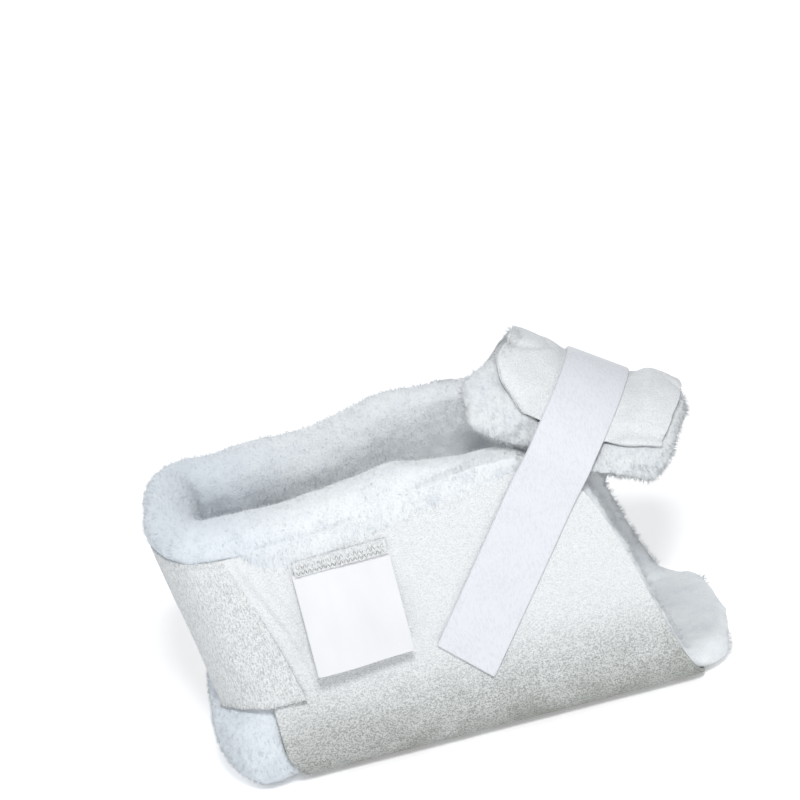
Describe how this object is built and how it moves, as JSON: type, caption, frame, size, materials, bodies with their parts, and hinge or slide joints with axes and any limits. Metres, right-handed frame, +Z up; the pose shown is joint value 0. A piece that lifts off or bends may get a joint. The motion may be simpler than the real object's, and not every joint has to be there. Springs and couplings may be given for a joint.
{
  "type": "heel protector",
  "caption": "Soft white fleece boot that pads a resting heel, open at the toes and the calf, with a padded ankle flap held by a hook-and-loop strap.",
  "frame": {"origin": "middle of the base's underside, on the surface it rests on", "axes": "+X from the sole of the heel towards the calf, -Y the side with the label and the strap's free end, +Z up"},
  "size_m": [0.2078, 0.0878, 0.1442],
  "materials": {
    "knit_backing": "knitted polyester backing of the fleece, white, matte",
    "fleece_pile": "thick synthetic fleece pile, bluish white, matte",
    "strap_webbing": "brushed hook-and-loop webbing, white, matte",
    "label_satin": "smooth satin label, white, left bare"
  },
  "bodies": {
    "root": {"outer_cover": "knit_backing", "pile_lining": "fleece_pile", "ankle_flap_backing": "knit_backing", "ankle_flap_pile": "fleece_pile", "strap": "strap_webbing", "label": "label_satin"}
  },
  "joints": []
}
